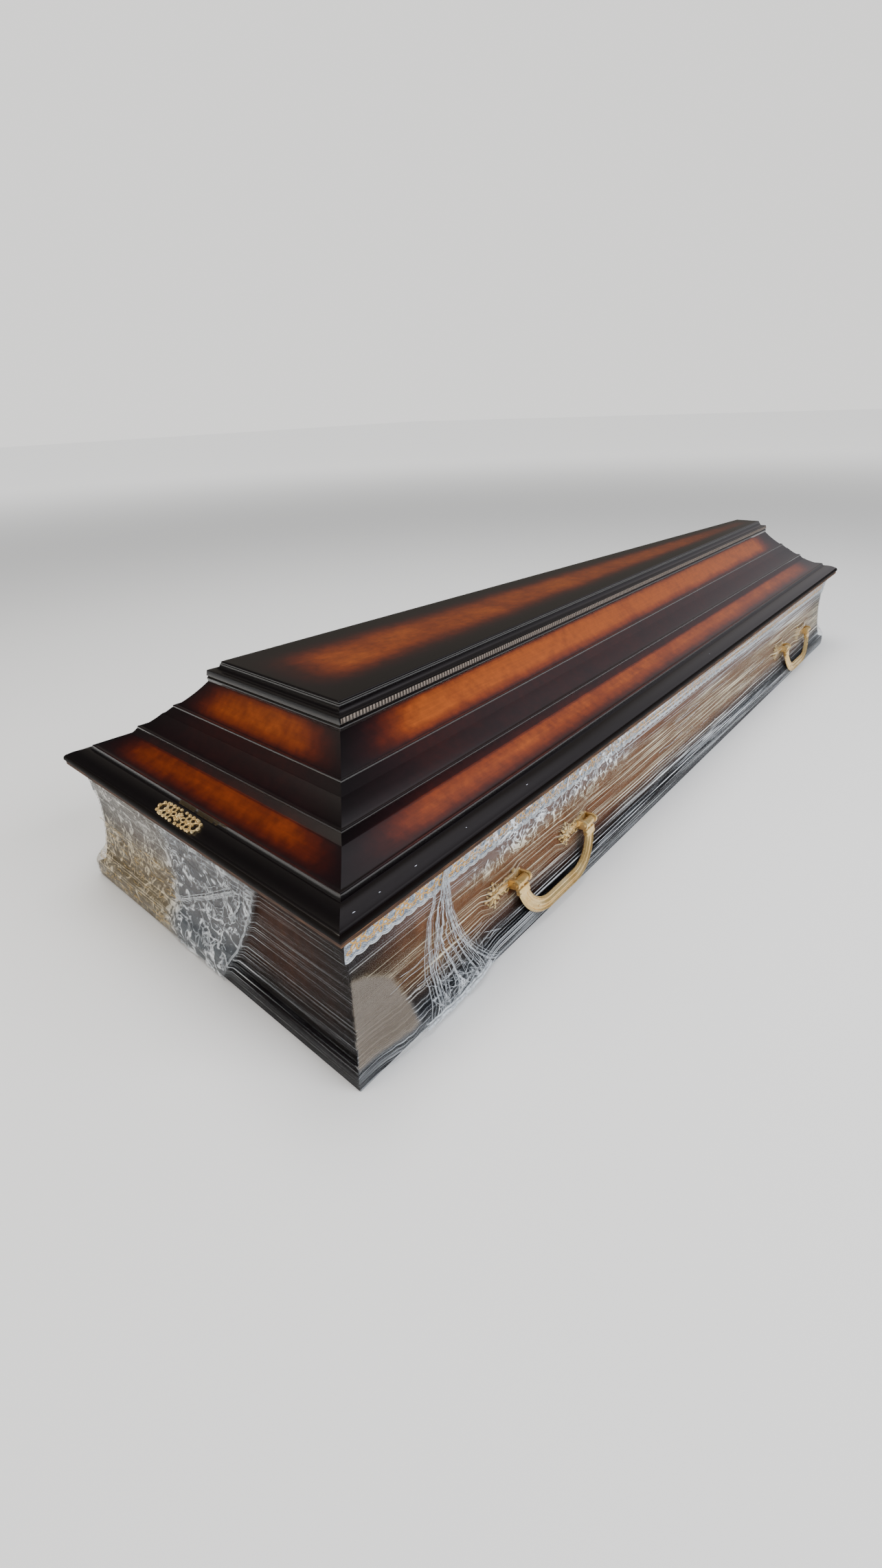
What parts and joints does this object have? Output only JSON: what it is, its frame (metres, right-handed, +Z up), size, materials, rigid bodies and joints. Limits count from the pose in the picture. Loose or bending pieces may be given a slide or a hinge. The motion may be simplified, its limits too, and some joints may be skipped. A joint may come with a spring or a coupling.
{
  "type": "wooden coffin",
  "caption": "Long tapered coffin: hollow-sided box on a plinth, stepped hipped lid with a flat top board, lace trim and swing handles.",
  "frame": {"origin": "middle of the underside, on the surface that the coffin stands on", "axes": "X along the length with the wide head end at -X and the narrow foot end at +X, Z up"},
  "size_m": [2.05, 0.69, 0.3786],
  "materials": {
    "sunburst_lacquer": "orange-brown stain sprayed out to black at the edges, under high-gloss clear lacquer",
    "black_lacquer": "black stain under high-gloss clear lacquer",
    "bare_board": "planed softwood, unfinished",
    "lace": "white machine lace with yellow flowers",
    "gold_fitting": "cast fitting with a bright gold-coloured plating",
    "stretch_film": "clear stretch film, drawn tight in fine streaks"
  },
  "bodies": {
    "coffin": {"floor_board": "bare_board", "box_side_right_low": "sunburst_lacquer", "box_side_left_low": "sunburst_lacquer", "box_end_head_low": "sunburst_lacquer", "box_end_foot_low": "sunburst_lacquer", "box_side_right_up": "sunburst_lacquer", "box_side_left_up": "sunburst_lacquer", "box_end_head_up": "sunburst_lacquer", "box_end_foot_up": "sunburst_lacquer", "plinth_right": "black_lacquer", "plinth_left": "black_lacquer", "plinth_head": "black_lacquer", "plinth_foot": "black_lacquer", "lid_side_right": "sunburst_lacquer", "lid_side_left": "sunburst_lacquer", "lid_end_head": "sunburst_lacquer", "lid_end_foot": "sunburst_lacquer", "lid_top_board": "sunburst_lacquer", "lace_right": "lace", "lace_left": "lace", "lid_ornament": "gold_fitting", "plate_head_right_a": "gold_fitting", "plate_head_right_b": "gold_fitting", "plate_foot_right_a": "gold_fitting", "plate_foot_right_b": "gold_fitting", "plate_head_left_a": "gold_fitting", "plate_head_left_b": "gold_fitting", "plate_foot_left_a": "gold_fitting", "plate_foot_left_b": "gold_fitting", "pin_head_right_a": "gold_fitting", "pin_head_right_b": "gold_fitting", "pin_foot_right_a": "gold_fitting", "pin_foot_right_b": "gold_fitting", "pin_head_left_a": "gold_fitting", "pin_head_left_b": "gold_fitting", "pin_foot_left_a": "gold_fitting", "pin_foot_left_b": "gold_fitting"},
    "bail_head_right": {"bail_head_right": "gold_fitting"},
    "bail_foot_right": {"bail_foot_right": "gold_fitting"},
    "bail_head_left": {"bail_head_left": "gold_fitting"},
    "bail_foot_left": {"bail_foot_left": "gold_fitting"}
  },
  "joints": [
    {"name": "bail_head_right_swing", "type": "hinge", "parent": "coffin", "child": "bail_head_right", "pos_m": [-0.57408, -0.30797, 0.09366], "axis": [-0.998, -0.0633, 0], "range_deg": [0, 88]},
    {"name": "bail_foot_right_swing", "type": "hinge", "parent": "coffin", "child": "bail_foot_right", "pos_m": [0.72392, -0.22566, 0.09366], "axis": [-0.998, -0.0633, 0], "range_deg": [0, 88]},
    {"name": "bail_head_left_swing", "type": "hinge", "parent": "coffin", "child": "bail_head_left", "pos_m": [-0.57408, 0.30797, 0.09366], "axis": [0.998, -0.0633, 0], "range_deg": [0, 88]},
    {"name": "bail_foot_left_swing", "type": "hinge", "parent": "coffin", "child": "bail_foot_left", "pos_m": [0.72392, 0.22566, 0.09366], "axis": [0.998, -0.0633, 0], "range_deg": [0, 88]}
  ]
}
